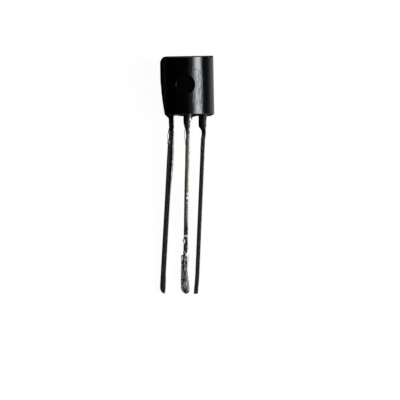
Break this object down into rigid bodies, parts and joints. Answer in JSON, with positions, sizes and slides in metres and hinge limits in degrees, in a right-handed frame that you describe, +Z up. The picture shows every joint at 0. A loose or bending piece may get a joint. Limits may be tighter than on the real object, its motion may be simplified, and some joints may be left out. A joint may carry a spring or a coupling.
{
  "type": "through-hole transistor",
  "caption": "Small signal transistor: D-shaped moulded plastic case with a row of long, slightly bent tinned leads.",
  "frame": {"origin": "on the surface that the part lies on, under the middle of its bounding box", "axes": "+X to the right across the leads, seen from the round side with the case uppermost; +Y along the part, from the lead tips to the case; +Z up, out of the surface it lies on, with the round side up"},
  "size_m": [0.0048, 0.0195, 0.0038],
  "materials": {
    "moulded_epoxy": "satin",
    "tinned_lead": "satin",
    "silicon": "gloss",
    "solder": "satin",
    "gold_wire": "gloss"
  },
  "bodies": {
    "root": {"case": "moulded_epoxy", "base_lead": "tinned_lead", "collector_lead": "tinned_lead", "emitter_lead": "tinned_lead", "die": "silicon", "die_attach": "solder", "base_wire": "gold_wire", "emitter_wire": "gold_wire"}
  },
  "joints": []
}
